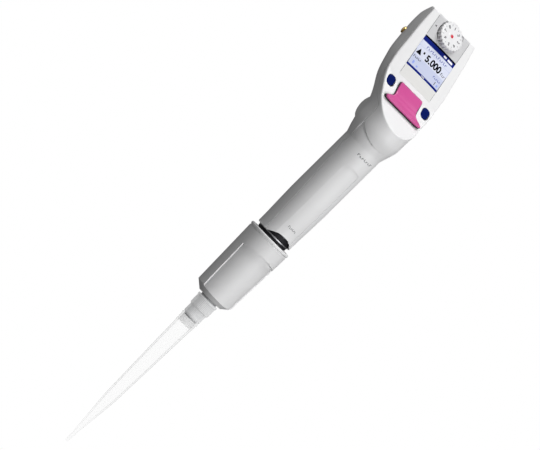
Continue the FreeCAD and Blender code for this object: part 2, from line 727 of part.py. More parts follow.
def battery_door_space(gap):
    return box(-12.5 - gap, 12.5 + gap, 20, 60, 297.0 - gap, 321.0 + gap)


def socket_space(radius, w0, w1):
    return tilted(Part.makeCylinder(radius, w1 - w0, Vector(SOCKET_X, 0, w0)), SOCKET_TILT, SOCKET_MOUTH)


def make_power_socket(outside):
    body = socket_space(3.2, -SOCKET_DEPTH - 0.8, 1.0).common(outside)
    return body.cut(socket_space(SOCKET_BORE, -SOCKET_DEPTH, 2.0))


def contact_space(side, radius, inward, outward):
    bearing = math.radians(CONTACT_BEARING)
    direction = Vector(side * math.cos(bearing), math.sin(bearing), 0)
    x, y = CONTACT_PLACE
    start = Vector(side * x, y, CONTACT_Z) - direction * inward
    return Part.makeCylinder(radius, inward + outward, start, direction)


def make_charging_contacts():
    contacts = []
    bearing = math.radians(CONTACT_BEARING)
    x, y = CONTACT_PLACE
    dome_radius = 3.6
    for side in (-1, 1):
        direction = Vector(side * math.cos(bearing), math.sin(bearing), 0)
        dome_centre = Vector(side * x, y, CONTACT_Z) - direction * (dome_radius - 1.5)
        dome = Part.makeSphere(dome_radius, dome_centre)
        contacts.append(contact_space(side, CONTACT_RADIUS, 2.4, 3.0).common(dome.fuse(
            contact_space(side, CONTACT_RADIUS, 2.4, -0.5))))
    return compound(contacts)


def make_finger_rest(outside):
    """Hook that the index finger sits under, with a straight underside."""
    flat_start = Vector(0, 20.0, 258.0)
    flat_end = Vector(0, 29.5, 262.3)
    nose = Part.BSplineCurve()
    nose.interpolate([flat_end, Vector(0, 33.4, 266.5), Vector(0, 34.4, 271.5), Vector(0, 31.5, 277.0),
                      Vector(0, 24.5, 281.5), Vector(0, 18.0, 284.0)])
    root = [Vector(0, 18.0, 284.0), Vector(0, 12.0, 270.0), Vector(0, 13.0, 255.5), flat_start]
    edges = [Part.makeLine(flat_start, flat_end), nose.toShape()]
    edges += [Part.makeLine(start, end) for start, end in zip(root, root[1:])]
    half_width = 5.5
    hook = Part.Face(Part.Wire(edges)).extrude(Vector(2 * half_width, 0, 0))
    hook.translate(Vector(-half_width, 0, 0))
    rims = [edge for edge in hook.Edges if edge.BoundBox.XLength < 0.01 and edge.BoundBox.YMax > 29]
    return hook.makeFillet(1.6, rims).cut(outside)


def make_rear_shell(shell):
    """Rear half of the handle and the back of the head, moulded in one piece."""
    line = handle_parting()
    region = [(y + SEAM_GAP / 2, z) for y, z in line[:-1]] + [(-3.8, 253), (40, 253), (40, 170)]
    handle = handle_tube().common(prism_x(region, 40))
    front = bezel_region().fuse(button_region(SEAM_GAP / 2))
    front.translate(Vector(0, SEAM_GAP / 2, 0))
    head = shell.cut(front)
    behind = [(y + SEAM_GAP / 2, z) for y, z in line[-3:]]
    neck_front = [(-40, 246.0)] + behind + [(BUTTON_SIDE_Y + SEAM_GAP, 277.0), (-40, 277.0)]
    body = handle.fuse(head).cut(prism_x(neck_front, 40))
    body = body.cut(handle_seam_groove()).cut(head_seam_groove())
    body = body.cut(battery_door_space(0.1))
    body = body.cut(dial_space(DIAL_RADIUS + 1.05, -DIAL_THICKNESS - 1.65, 20.0))
    body = body.cut(socket_space(3.25, -12.0, 4.0))
    for side in (-1, 1):
        body = body.cut(contact_space(side, CONTACT_RADIUS + 0.05, 6.0, 6.0))
    return body


def build_all():
    outside = head_outside()
    inside = head_solid(HEAD_WALL)
    shell = outside.cut(inside)
    return {
        "tip": make_tip(),
        "tip_filter": make_tip_filter(),
        "nozzle": make_nozzle(),
        "nozzle_o_ring": make_nozzle_o_ring(),
        "cylinder": make_cylinder(),
        "piston": make_piston(),
        "piston_seal": make_piston_seal(),
        "piston_rod": make_piston_rod(),
        "drive_nut": make_drive_nut(),
        "guide_rods": make_guide_rods(),
        "lead_screw": make_lead_screw(),
        "motor_rotor": make_motor_rotor(),
        "lower_bearing": make_bearing(MOTOR_BOTTOM_Z, 227.0),
        "upper_bearing": make_bearing(245.0, 247.6),
        "motor_body": make_motor_body(),
        "motor_plate": make_motor_plate(),
        "motor_screws": make_motor_screws(),
        "drive_base": make_drive_base(),
        "rod_bush": make_rod_bush(),
        "coupling_collar": make_coupling_collar(),
        "lock_ring": make_lock_ring(),
        "ejector_sleeve": make_ejector_sleeve(),
        "ejector_rod": make_ejector_rod(),
        "ejector_yoke": make_ejector_yoke(inside),
        "ejector_spring": make_ejector_spring(),
        "ejector_button": make_ejector_button(shell),
        "handle_front_shell": make_handle_front_shell(),
        "rear_shell": make_rear_shell(shell),
        "finger_rest": make_finger_rest(outside),
        "front_bezel": make_front_bezel(shell, inside),
        "dial_panel": make_dial_panel(outside),
        "lower_panel": make_lower_panel(outside),
        "display_window": make_display_window(outside),
        "display_module": make_display_module(),
        "main_board": make_main_board(),
        "board_screws": make_board_screws(),
        "rocker": make_rocker(),
        "rocker_pin": make_rocker_pin(),
        "rocker_switch": make_rocker_switch(),
        "left_softkey": make_softkey(-1),
        "right_softkey": make_softkey(1),
        "key_switches": make_key_switches(),
        "selection_dial": make_selection_dial(),
        "dial_marker": make_dial_marker(),
        "dial_encoder": make_dial_encoder(),
        "battery": make_battery(),
        "battery_cover": shell.common(battery_door_space(0.0)),
        "power_socket": make_power_socket(outside),
        "charging_contacts": make_charging_contacts(),
    }


os.makedirs("parts", exist_ok=True)
for node, shape in build_all().items():
    shape.exportStep(f"parts/{node}.step")
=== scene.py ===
import json
import math

import bmesh
import bpy
from mathutils import Matrix, Vector
from mathutils.bvhtree import BVHTree


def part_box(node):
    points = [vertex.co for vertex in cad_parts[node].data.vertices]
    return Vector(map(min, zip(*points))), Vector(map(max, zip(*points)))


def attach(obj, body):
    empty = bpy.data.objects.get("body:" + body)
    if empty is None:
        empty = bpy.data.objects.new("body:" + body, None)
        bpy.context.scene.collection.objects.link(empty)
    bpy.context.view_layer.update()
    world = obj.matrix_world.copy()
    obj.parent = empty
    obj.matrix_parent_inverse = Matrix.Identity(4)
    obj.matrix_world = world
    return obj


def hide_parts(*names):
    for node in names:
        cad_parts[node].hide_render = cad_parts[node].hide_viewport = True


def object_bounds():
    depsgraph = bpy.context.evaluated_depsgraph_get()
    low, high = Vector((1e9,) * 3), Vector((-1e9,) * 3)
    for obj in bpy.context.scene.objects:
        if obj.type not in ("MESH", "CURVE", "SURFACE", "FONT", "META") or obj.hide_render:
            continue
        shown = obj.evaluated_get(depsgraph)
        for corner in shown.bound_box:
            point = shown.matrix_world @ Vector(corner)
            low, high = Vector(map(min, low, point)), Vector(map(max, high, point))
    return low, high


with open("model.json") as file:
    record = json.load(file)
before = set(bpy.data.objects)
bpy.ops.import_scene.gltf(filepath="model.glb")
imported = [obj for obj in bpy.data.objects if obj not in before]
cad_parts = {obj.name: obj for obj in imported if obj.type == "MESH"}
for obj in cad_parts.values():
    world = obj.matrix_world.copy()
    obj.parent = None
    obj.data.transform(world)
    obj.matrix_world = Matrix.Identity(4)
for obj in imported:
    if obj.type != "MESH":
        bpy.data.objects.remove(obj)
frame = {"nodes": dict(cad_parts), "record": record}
CAD_LOW, CAD_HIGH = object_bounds()

MM = 0.001

# ---- material building blocks -------------------------------------------------------------------


class Shader:
    """A material's node tree with short calls for the nodes that are used here."""

    def __init__(self, name):
        self.material = bpy.data.materials.new(name)
        self.material.use_nodes = True
        self.tree = self.material.node_tree
        self.surface = self.tree.nodes["Principled BSDF"]
        self.output = self.tree.nodes["Material Output"]
        self.place = self.node("ShaderNodeTexCoord").outputs["Object"]

    def node(self, kind, **settings):
        made = self.tree.nodes.new(kind)
        for key, value in settings.items():
            setattr(made, key, value)
        return made

    def join(self, source, target):
        self.tree.links.new(source, target)

    def feed(self, target, value):
        if hasattr(value, "links"):
            self.join(value, target)
        else:
            target.default_value = value

    def set(self, **values):
        for key, value in values.items():
            self.feed(self.surface.inputs[key.replace("_", " ")], value)

    def noise(self, size_mm, detail=3.0, rough=0.55, stretch=(1, 1, 1)):
        mapping = self.node("ShaderNodeMapping")
        mapping.inputs["Scale"].default_value = stretch
        self.join(self.place, mapping.inputs["Vector"])
        made = self.node("ShaderNodeTexNoise")
        made.inputs["Scale"].default_value = 1.0 / (size_mm * MM)
        made.inputs["Detail"].default_value = detail
        made.inputs["Roughness"].default_value = rough
        self.join(mapping.outputs["Vector"], made.inputs["Vector"])
        return made.outputs["Fac"]

    def ramp(self, value, low, high, start=0.0, end=1.0):
        made = self.node("ShaderNodeMapRange")
        for key, number in (("From Min", start), ("From Max", end), ("To Min", low), ("To Max", high)):
            made.inputs[key].default_value = number
        self.join(value, made.inputs["Value"])
        return made.outputs["Result"]

    def math(self, operation, a, b=0.0):
        made = self.node("ShaderNodeMath", operation=operation)
        self.feed(made.inputs[0], a)
        self.feed(made.inputs[1], b)
        return made.outputs["Value"]

    def mix(self, factor, a, b):
        made = self.node("ShaderNodeMix", data_type="RGBA")
        self.feed(made.inputs["Factor"], factor)
        self.feed(made.inputs["A"], a)
        self.feed(made.inputs["B"], b)
        return made.outputs["Result"]

    def bump(self, height, depth_mm, strength=1.0):
        made = self.node("ShaderNodeBump")
        made.inputs["Strength"].default_value = strength
        made.inputs["Distance"].default_value = depth_mm * MM
        self.join(height, made.inputs["Height"])
        self.join(made.outputs["Normal"], self.surface.inputs["Normal"])


def rgb(red, green, blue, alpha=1.0):
    return (red, green, blue, alpha)


def scaled(colour, factor):
    return rgb(colour[0] * factor, colour[1] * factor, colour[2] * factor)


def moulded(name, colour, roughness=0.42, grain_mm=0.35, grain_depth=0.012, tone=0.03, edge_highlight=0.05, coat=0.0,
            gloss=0.5):
    """Injection-moulded plastic: fine spark-eroded grain, soft tone drift, and a painted highlight that
    lightens its convex edges.
    """
    shader = Shader(name)
    drift = shader.noise(14.0, detail=2.0)
    grain = shader.noise(grain_mm, detail=2.0, rough=0.5)
    toned = shader.mix(drift, scaled(colour, 1 - tone), scaled(colour, 1 + tone))
    # Painted highlight: convex edges, found by pointiness, are painted lighter than the face.
    edge = shader.ramp(shader.node("ShaderNodeNewGeometry").outputs["Pointiness"], 0.0, 1.0, 0.52, 0.60)
    highlit_colour = shader.mix(shader.math("MULTIPLY", edge, edge_highlight * 4), toned, scaled(colour, 1 + edge_highlight))
    rough = shader.math("ADD", shader.ramp(grain, roughness - 0.05, roughness + 0.06),
                        shader.ramp(drift, -0.03, 0.03))
    shader.set(Base_Color=highlit_colour, Roughness=rough, Coat_Weight=coat, Coat_Roughness=0.15)
    shader.surface.inputs["IOR"].default_value = 1.46
    shader.surface.inputs["Specular IOR Level"].default_value = gloss
    shader.bump(grain, grain_depth, 0.6)
    return shader.material


def metal(name, colour, roughness, brushed=(1, 1, 1), scratch_mm=0.25):
    """Turned or brushed metal with fine directional scratches."""
    shader = Shader(name)
    scratch = shader.noise(scratch_mm, detail=4.0, stretch=brushed)
    drift = shader.noise(6.0)
    shader.set(Base_Color=shader.mix(drift, scaled(colour, 0.9), scaled(colour, 1.06)), Metallic=1.0,
               Roughness=shader.ramp(scratch, roughness - 0.08, roughness + 0.12))
    shader.bump(scratch, 0.004, 0.5)
    return shader.material

# ---- materials ----------------------------------------------------------------------------------

RING_SPAN = (99.4, 100.0)
RING_HAZE = 0.18
COLLAR_SPAN = (105.4, 106.2)
COLLAR_HAZE = 0.62
COLLAR_GLOW = 0.32
TIP_RIBS = 44


def fade_in(shader, height, span_mm, full):
    """Rises from 0 below the span to full above it."""
    return shader.ramp(height, 0.0, full, span_mm[0] * MM, span_mm[1] * MM)


def frosted_clear(name, tint):
    """Thin moulded polypropylene: clear face on, painted grey shade at its outline, milky on its rings and
    collar, with painted shade in stripes over the collar's ribs.

    The collar also glows a little, in place of the light that milky plastic scatters inside itself.
    """
    shader = Shader(name)
    facing = shader.node("ShaderNodeLayerWeight")
    facing.inputs["Blend"].default_value = 0.5
    place = shader.node("ShaderNodeSeparateXYZ")
    shader.join(shader.place, place.inputs["Vector"])
    height = place.outputs["Z"]
    rings = fade_in(shader, height, RING_SPAN, RING_HAZE)
    collar = fade_in(shader, height, COLLAR_SPAN, COLLAR_HAZE)
    rim = shader.ramp(facing.outputs["Facing"], 0.02, 0.42, 0.5, 1.0)
    haze = shader.noise(9.0, detail=2.0, stretch=(1, 1, 0.25))
    face_tint = shader.mix(haze, scaled(tint, 0.95), tint)
    # Painted shade: the colour greys towards the outline, where the walls are seen edge on.
    towards_edge = shader.ramp(facing.outputs["Facing"], 0.0, 1.0, 0.4, 0.95)
    outline_shaded_tint = shader.mix(towards_edge, face_tint, scaled(tint, 0.42))
    milky = shader.math("MAXIMUM", rings, collar)
    grain = shader.noise(0.4, detail=2.0)
    bearing = shader.math("ARCTAN2", place.outputs["Y"], place.outputs["X"])
    # Painted shade in stripes: the collar's colour darkens along each rib, as light and shade across ribs
    # would.
    rib = shader.ramp(shader.math("SINE", shader.math("MULTIPLY", bearing, TIP_RIBS)), 0.0, 1.0, -1.0, 1.0)
    rib_shaded_tint = shader.mix(shader.math("MULTIPLY", rib, collar), face_tint, scaled(tint, 0.6))
    shader.set(Base_Color=shader.mix(fade_in(shader, height, RING_SPAN, 1.0), outline_shaded_tint, rib_shaded_tint),
               Emission_Color=tint, Emission_Strength=shader.math("MULTIPLY", collar, COLLAR_GLOW),
               Alpha=shader.math("MAXIMUM", rim, milky), Roughness=shader.ramp(grain, 0.22, 0.34))
    shader.surface.inputs["Specular IOR Level"].default_value = 0.3
    shader.bump(shader.noise(2.5, detail=2.0, stretch=(1, 1, 0.3)), 0.01, 0.3)
    return shader.material


def printed(name, colour, roughness=0.5, gloss=0.12):
    """Pad-printed ink with slight mottling."""
    shader = Shader(name)
    mottle = shader.noise(0.5, detail=3.0)
    shader.set(Base_Color=shader.mix(mottle, scaled(colour, 0.85), scaled(colour, 1.12)),
               Roughness=shader.ramp(mottle, roughness - 0.08, roughness + 0.08))
    shader.surface.inputs["Specular IOR Level"].default_value = gloss
    shader.bump(mottle, 0.004, 0.3)
    return shader.material


def brushed_film(name, colour, roughness):
    """Satin metallised film behind the dial, with fine level brushing."""
    shader = Shader(name)
    lines = shader.noise(0.25, detail=4.0, stretch=(0.06, 1, 1))
    drift = shader.noise(12.0)
    toned = shader.mix(lines, scaled(colour, 0.95), scaled(colour, 1.04))
    shader.set(Base_Color=shader.mix(shader.ramp(drift, 0.0, 0.25), toned, scaled(colour, 0.96)),
               Metallic=0.1, Roughness=shader.ramp(lines, roughness - 0.08, roughness + 0.1))
    shader.bump(lines, 0.004, 0.35)
    return shader.material


def glowing_screen(name, colour):
    """Lit display as seen through its window: even light, a fine pixel grid and a thin clear coat."""
    shader = Shader(name)
    grid = shader.node("ShaderNodeTexChecker")
    grid.inputs["Scale"].default_value = 1 / (0.18 * MM)
    shader.join(shader.place, grid.inputs["Vector"])
    cells = shader.mix(grid.outputs["Fac"], scaled(colour, 0.97), colour)
    drift = shader.noise(15.0)
    shade = shader.mix(shader.ramp(drift, 0.0, 0.35), cells, scaled(colour, 0.92))
    shader.set(Base_Color=shade, Emission_Color=shade, Emission_Strength=0.12, Coat_Weight=0.15,
               Coat_Roughness=0.1, Roughness=shader.ramp(drift, 0.24, 0.32))
    shader.surface.inputs["Specular IOR Level"].default_value = 0.2
    shader.bump(drift, 0.002, 0.2)
    return shader.material


def circuit_board(name):
    """Solder mask with faint copper tracks beneath it."""
    shader = Shader(name)
    tracks = shader.node("ShaderNodeTexVoronoi", feature="DISTANCE_TO_EDGE", distance="MANHATTAN")
    tracks.inputs["Scale"].default_value = 1 / (2.2 * MM)
    shader.join(shader.place, tracks.inputs["Vector"])
    line = shader.ramp(tracks.outputs["Distance"], 1.0, 0.0, 0.02, 0.06)
    fine = shader.noise(0.5)
    shader.set(Base_Color=shader.mix(line, rgb(0.012, 0.10, 0.045), rgb(0.03, 0.2, 0.08)),
               Roughness=shader.ramp(fine, 0.28, 0.4), Coat_Weight=0.4)
    shader.bump(line, 0.03, 0.5)
    return shader.material


def porous(name, colour):
    """Sintered filter material."""
    shader = Shader(name)
    cells = shader.node("ShaderNodeTexVoronoi")
    cells.inputs["Scale"].default_value = 1 / (0.45 * MM)
    shader.join(shader.place, cells.inputs["Vector"])
    shader.set(Base_Color=shader.mix(cells.outputs["Distance"], colour, scaled(colour, 0.8)),
               Roughness=shader.ramp(cells.outputs["Distance"], 0.85, 0.98))
    shader.bump(cells.outputs["Distance"], 0.12, 0.8)
    return shader.material


WHITE = rgb(0.80, 0.80, 0.805)

PAINT = {
    "shell_white": moulded("shell_white", WHITE, 0.46, 0.42, 0.016, 0.025, 0.05),
    "tip_clear": frosted_clear("tip_clear", rgb(0.93, 0.935, 0.94)),
    "tip_cone_plastic": moulded("tip_cone_plastic", rgb(0.36, 0.36, 0.37), 0.4),
    "rocker_pink": moulded("rocker_pink", rgb(0.60, 0.075, 0.29), 0.32, 0.3, 0.008, 0.05, 0.12, 0.0, 0.6),
    "key_blue": moulded("key_blue", rgb(0.001, 0.008, 0.105), 0.42, 0.3, 0.006, 0.06, 0.15, 0.0, 0.08),
    "dial_white": moulded("dial_white", rgb(0.74, 0.74, 0.75), 0.36, 0.3, 0.008, 0.02, 0.06, 0.1),
    "marker_red": moulded("marker_red", rgb(0.58, 0.008, 0.03), 0.28, 0.3, 0.004, 0.04, 0.1, 0.3),
    "panel_silver": brushed_film("panel_silver", rgb(0.60, 0.60, 0.61), 0.5),
    "panel_light": brushed_film("panel_light", rgb(0.74, 0.74, 0.725), 0.5),
    "window_clear": glowing_screen("window_clear", rgb(0.53, 0.57, 0.73)),
    "display_face": moulded("display_face", rgb(0.5, 0.55, 0.8), 0.3),
    "collar_black": moulded("collar_black", rgb(0.010, 0.010, 0.012), 0.5, 0.3, 0.01, 0.15, 0.4, 0.0, 0.15),
    "steel": metal("steel", rgb(0.36, 0.36, 0.375), 0.42, (1, 1, 0.1)),
    "aluminium_alloy": metal("aluminium_alloy", rgb(0.30, 0.305, 0.32), 0.5, (1, 1, 0.2)),
    "rotor_iron": metal("rotor_iron", rgb(0.28, 0.27, 0.27), 0.5, (0.2, 0.2, 4)),
    "brass_contact": metal("brass_contact", rgb(0.72, 0.47, 0.16), 0.22),
    "seal_rubber": moulded("seal_rubber", rgb(0.02, 0.02, 0.021), 0.72, 0.2, 0.02, 0.1, 0.3),
    "filter_white": porous("filter_white", rgb(0.8, 0.8, 0.79)),
    "board_green": circuit_board("board_green"),
    "print_grey": printed("print_grey", rgb(0.10, 0.10, 0.11)),
    "ink_black": printed("ink_black", rgb(0.004, 0.004, 0.007), 0.5, 0.03),
    "ink_navy": printed("ink_navy", rgb(0.006, 0.016, 0.20), 0.4, 0.05),
    "ink_blue": printed("ink_blue", rgb(0.06, 0.09, 0.42), 0.25),
    "ink_sky": printed("ink_sky", rgb(0.33, 0.42, 0.85), 0.25),
    "ink_pale": printed("ink_pale", rgb(0.70, 0.73, 0.86), 0.3),
    "ink_white": printed("ink_white", rgb(0.85, 0.85, 0.9), 0.25),
}


def paint_frame():
    """Gives every carried-over CAD node the paint of its material slot."""
    for part in frame["record"]["subparts"]:
        mesh = frame["nodes"][part["node"]].data
        mesh.materials.clear()
        mesh.materials.append(PAINT[part["material_slot"]])

# ---- mesh building blocks -----------------------------------------------------------------------

JOINTS = {joint["name"]: joint for joint in frame["record"]["behaviour"]["joints"]}
X_AXIS = Vector((1, 0, 0))
BODY_OF = {node: body for body, nodes in frame["record"]["behaviour"]["bodies"].items() for node in nodes}


def finish_piece(name, mesh, material, body, sharp_degrees=35):
    """Wraps a finished mesh as a piece: smooth shading with crisp corners, one material, one body."""
    mesh.polygons.foreach_set("use_smooth", [True] * len(mesh.polygons))
    mesh.set_sharp_from_angle(angle=math.radians(sharp_degrees))
    mesh.materials.clear()
    mesh.materials.append(material)
    piece = bpy.data.objects.new(name, mesh)
    bpy.context.scene.collection.objects.link(piece)
    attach(piece, body)
    return piece


def mesh_from(name, build):
    """Runs build on an empty bmesh and returns it as a mesh with outward faces."""
    work = bmesh.new()
    build(work)
    bmesh.ops.recalc_face_normals(work, faces=work.faces)
    mesh = bpy.data.meshes.new(name)
    work.to_mesh(mesh)
    work.free()
    return mesh


def loft(work, rings, cap_start=True, cap_end=True):
    """Quads between rings of points; each end is closed with one face if wanted."""
    made = [[work.verts.new(point) for point in ring] for ring in rings]
    for low, high in zip(made, made[1:]):
        for index in range(len(low)):
            after = (index + 1) % len(low)
            work.faces.new((low[index], low[after], high[after], high[index]))
    for ring, wanted in ((made[0], cap_start), (made[-1], cap_end)):
        if wanted:
            work.faces.new(ring)


def ring_of(work, rings):
    """Closed ring: the last outline joins the first."""
    loft(work, rings + rings[:1], False, False)
    bmesh.ops.remove_doubles(work, verts=work.verts, dist=1e-7)


def turned(outline, steps, shape=None):
    """Surface of revolution about Z from a closed (radius, z) outline in mm; shape may change a radius."""
    def build(work):
        rings = []
        for radius, z in outline:
            ring = []
            for index in range(steps):
                angle = 2 * math.pi * index / steps
                r = shape(angle, radius, z) if shape else radius
                ring.append(Vector((r * math.cos(angle), r * math.sin(angle), z)) * MM)
            rings.append(ring)
        made = [[work.verts.new(point) for point in ring] for ring in rings]
        made.append(made[0])
        for low, high in zip(made, made[1:]):
            for index in range(steps):
                after = (index + 1) % steps
                work.faces.new((low[index], low[after], high[after], high[index]))
    return build


def sampled(table, key):
    """Smoothly interpolated value of a (key, value) table, whose keys rise."""
    last = len(table) - 1
    if key <= table[0][0]:
        return table[0][1]
    for index in range(last):
        (k0, v0), (k1, v1) = table[index], table[index + 1]
        if key <= k1:
            before = table[max(index - 1, 0)]
            after = table[min(index + 2, last)]
            slope0 = (v1 - before[1]) / (k1 - before[0])
            slope1 = (after[1] - v0) / (after[0] - k0)
            t, span = (key - k0) / (k1 - k0), k1 - k0
            return (v0 * (2 * t ** 3 - 3 * t ** 2 + 1) + slope0 * span * (t ** 3 - 2 * t ** 2 + t)
                    + v1 * (3 * t ** 2 - 2 * t ** 3) + slope1 * span * (t ** 3 - t ** 2))
    return table[-1][1]


def rounded_edge(distance, radius):
    """How far a surface has dropped at a distance from its rounded edge."""
    if distance >= radius:
        return 0.0
    return radius - math.sqrt(max(radius ** 2 - (radius - distance) ** 2, 0.0))


class Plane:
    """A local frame: across, up and out of a surface, with an origin in metres."""

    def __init__(self, origin, out, across=X_AXIS):
        self.origin = Vector(origin)
        self.out = Vector(out).normalized()
        self.across = Vector(across).normalized()
        self.up = self.out.cross(self.across).normalized()

    def point(self, x, v, w=0.0):
        return self.origin + (self.across * x + self.up * v + self.out * w) * MM


def extent(node, direction):
    """Lowest and highest reach of a CAD node along a direction, in metres."""
    reach = [vertex.co.dot(direction) for vertex in frame["nodes"][node].data.vertices]
    return min(reach), max(reach)


def top_plane(node, out, across=X_AXIS):
    """Plane on the highest point of a node along out, centred on the node's box."""
    low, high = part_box(node)
    out = Vector(out).normalized()
    centre = (low + high) / 2
    return Plane(centre + out * (extent(node, out)[1] - centre.dot(out)), out, across)


class Skin:
    """Outer surface of a CAD node, for laying thin printed marks on it."""

    def __init__(self, node):
        mesh = frame["nodes"][node].data
        points = [vertex.co.copy() for vertex in mesh.vertices]
        self.tree = BVHTree.FromPolygons(points, [tuple(face.vertices) for face in mesh.polygons])

    def lay(self, plane, x, v, lift):
        """Point that lies lift mm above the surface, straight behind (x, v) on the plane."""
        far = plane.point(x, v, RAY_START)
        hit = self.tree.ray_cast(far, -plane.out)[0]
        if hit is None:
            return plane.point(x, v, lift)
        return hit + plane.out * (lift * MM)


PRINT_LIFT = 0.03
PRINT_DEPTH = 0.06
RAY_START = 30.0


def patch(skin, plane, x0, x1, v0, v1, radius=0.0, lift=PRINT_LIFT, columns=24):
    """Thin closed rounded rectangle laid on a skin."""
    def build(work):
        upper, lower = [], []
        for index in range(columns + 1):
            x = x0 + (x1 - x0) * index / columns
            inset = radius - math.sqrt(max(radius ** 2 - max(radius - min(x - x0, x1 - x), 0.0) ** 2, 0.0))
            for level, store in ((lift, upper), (lift - PRINT_DEPTH, lower)):
                store.append([work.verts.new(skin.lay(plane, x, v, level)) for v in (v0 + inset, v1 - inset)])
        for a, b, c, d in zip(upper, upper[1:], lower, lower[1:]):
            work.faces.new((a[0], b[0], b[1], a[1]))
            work.faces.new((c[0], c[1], d[1], d[0]))
            work.faces.new((a[0], c[0], d[0], b[0]))
            work.faces.new((a[1], b[1], d[1], c[1]))
        for index in (0, -1):
            a, c = upper[index], lower[index]
            work.faces.new((a[0], a[1], c[1], c[0]))
        bmesh.ops.remove_doubles(work, verts=work.verts, dist=1e-7)
    return build


def numeral_mesh(name, text, size_mm, bold=0.0):
    """Flat mesh of built-in generic numerals, centred, in mm, with a small thickness."""
    curve = bpy.data.curves.new(name, "FONT")
    curve.body = text
    curve.align_x = "CENTER"
    curve.align_y = "CENTER"
    curve.size = size_mm
    curve.offset = bold
    curve.extrude = PRINT_DEPTH / 2
    curve.resolution_u = 6
    holder = bpy.data.objects.new(name, curve)
    bpy.context.scene.collection.objects.link(holder)
    mesh = bpy.data.meshes.new_from_object(holder.evaluated_get(bpy.context.evaluated_depsgraph_get()))
    bpy.data.objects.remove(holder)
    bpy.data.curves.remove(curve)
    return mesh


def lay_numerals(name, text, size_mm, skin, plane, x, v, material, body, bold=0.0, turn=0.0):
    """Numerals laid on a skin around (x, v), turned by an angle in radians."""
    mesh = numeral_mesh(name, text, size_mm, bold)
    c, s = math.cos(turn), math.sin(turn)
    for vertex in mesh.vertices:
        a, b, w = vertex.co
        vertex.co = skin.lay(plane, x + a * c - b * s, v + a * s + b * c, PRINT_LIFT - PRINT_DEPTH / 2 + w)
    return finish_piece(name, mesh, material, body)

# ---- tip ----------------------------------------------------------------------------------------

TIP_OUTSIDE = [
    (0.92, 0.0), (1.02, 2.5), (1.2, 7.0), (1.7, 12.5), (2.24, 18.0), (3.1, 27.0), (3.85, 35.2), (4.05, 39.0),
    (4.3, 48.0), (4.7, 60.0), (5.2, 78.0), (5.7, 97.0), (5.85, 99.2), (6.1, 99.8), (6.1, 101.1),
    (5.92, 101.3), (5.92, 101.6), (6.15, 101.8), (6.15, 103.0), (5.95, 103.2), (5.95, 103.6),
    (6.35, 103.9), (6.4, 105.4),
    (6.3, 105.7), (5.95, 105.9), (5.95, 106.3), (6.3, 106.6), (6.3, 106.9), (6.3, 111.7), (6.3, 112.0),
    (6.9, 112.6), (7.15, 112.9), (7.15, 113.2), (7.15, 118.5), (7.15, 118.8), (7.45, 119.2), (7.58, 119.5),
    (7.58, 120.3), (7.4, 120.55), (6.45, 120.55),
]
TIP_INSIDE = [
    (6.25, 120.3), (5.4, 112.0), (4.97, 104.0), (4.77, 97.0), (3.95, 60.0), (3.55, 48.0), (3.15, 36.0),
    (1.49, 18.0), (0.57, 3.0), (0.57, 0.0),
]
TIP_RIB_BANDS = [(106.8, 111.8), (113.1, 118.6)]
TIP_RIB_DEPTH = 0.2
TIP_BORE_LIMIT = 6.0
STEPS_PER_RIB = 8


def tip_radius(angle, radius, z):
    """Fine vertical ribs on the tip's collar."""
    on_band = radius > TIP_BORE_LIMIT and any(low <= z <= high for low, high in TIP_RIB_BANDS)
    return radius - TIP_RIB_DEPTH * (0.5 + 0.5 * math.cos(TIP_RIBS * angle)) if on_band else radius


def make_tip():
    steps = TIP_RIBS * STEPS_PER_RIB
    mesh = mesh_from("tip_moulding", turned(TIP_OUTSIDE + TIP_INSIDE, steps, tip_radius))
    piece = finish_piece("tip_moulding", mesh, PAINT["tip_clear"], BODY_OF["tip"], 50)
    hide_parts("tip")


# ---- dial ---------------------------------------------------------------------------------------

DIAL_RADIUS = 9.4
DIAL_HEIGHT = 3.4
DIAL_LOBES = 24
DIAL_FACE_RADIUS = 8.0
DIAL_DISH = 0.2
SCALLOP_DEPTH = 0.85
STEPS_PER_LOBE = 12
DIAL_PLACES = 8
NUMERAL_RADIUS = 5.9
NUMERAL_SIZE = 2.9
NUMERAL_BOLD = 0.09
TICK_HALF_WIDTH = 0.11
TICK_SPAN = (6.7, 7.7)


def dial_level(radius):
    """Height of the dial's dished face at a radius."""
    if radius >= DIAL_FACE_RADIUS:
        return 0.0
    return -DIAL_DISH * (1 - (radius / DIAL_FACE_RADIUS) ** 2) - 0.06


class DialFace:
    """Lays marks on the dished face of the dial."""

    def lay(self, plane, x, v, lift):
        return plane.point(x, v, dial_level(math.hypot(x, v)) + lift)


def dial_rings(plane):
    """Outlines of the knob from its foot over the scalloped rim to the well of its red dot."""
    steps = DIAL_LOBES * STEPS_PER_LOBE
    levels = [(DIAL_RADIUS - 0.25, -DIAL_HEIGHT, 1.0), (DIAL_RADIUS - 0.02, -DIAL_HEIGHT + 0.25, 1.0),
              (DIAL_RADIUS, -0.8, 1.0), (DIAL_RADIUS - 0.06, -0.42, 1.0), (DIAL_RADIUS - 0.22, -0.18, 0.97),
              (DIAL_RADIUS - 0.45, -0.05, 0.85), (8.6, 0.0, 0.5), (8.2, 0.0, 0.0), (8.08, -0.02, 0.0),
              (8.0, -0.1, 0.0), (7.9, dial_level(7.9), 0.0), (6.5, dial_level(6.5), 0.0),
              (5.0, dial_level(5.0), 0.0), (3.0, dial_level(3.0), 0.0), (2.3, dial_level(2.3), 0.0),
              (2.1, -0.14, 0.0), (1.9, -0.08, 0.0), (1.35, -0.06, 0.0), (1.22, -0.12, 0.0), (1.2, -0.6, 0.0)]
    rings = []
    for radius, w, lobed in levels:
        ring = []
        for index in range(steps):
            angle = 2 * math.pi * index / steps
            valley = 1 - math.sqrt(abs(math.cos(DIAL_LOBES / 2 * angle)))
            r = radius - SCALLOP_DEPTH * valley * lobed
            ring.append(plane.point(r * math.cos(angle), r * math.sin(angle), w))
        rings.append(ring)
    return rings


